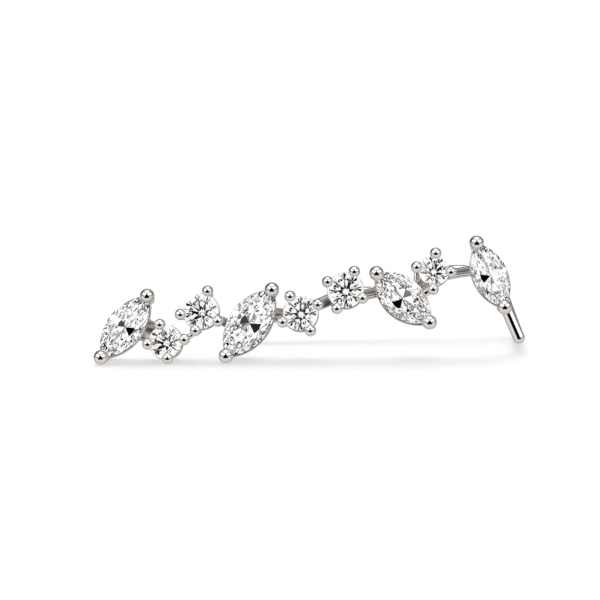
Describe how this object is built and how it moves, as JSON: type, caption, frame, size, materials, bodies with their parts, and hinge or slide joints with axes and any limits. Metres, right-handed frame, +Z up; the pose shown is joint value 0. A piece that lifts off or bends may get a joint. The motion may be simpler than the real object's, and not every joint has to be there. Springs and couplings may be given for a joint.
{
  "type": "ear climber",
  "caption": "Rigid ear climber: a zig-zag row of marquise and round brilliant stones in bead-tipped claw settings, with a bent ear wire that turns back and runs up behind the row.",
  "frame": {"origin": "middle of the climber's box, on the surface that it stands on", "axes": "+X along the row, from the wide end to the ear wire; +Y away from the viewer, from the stones to the ear wire's back arm; +Z up"},
  "size_m": [0.0254, 0.0074, 0.007],
  "materials": {
    "white_gold": "bright polished rhodium-plated white gold",
    "clear_stone": "colourless faceted brilliant-cut stone"
  },
  "bodies": {
    "root": {"metal_frame": "white_gold", "marquise_stone_1": "clear_stone", "marquise_stone_2": "clear_stone", "marquise_stone_3": "clear_stone", "marquise_stone_4": "clear_stone", "round_stone_1": "clear_stone", "round_stone_2": "clear_stone", "round_stone_3": "clear_stone", "round_stone_4": "clear_stone", "round_stone_5": "clear_stone"}
  },
  "joints": []
}
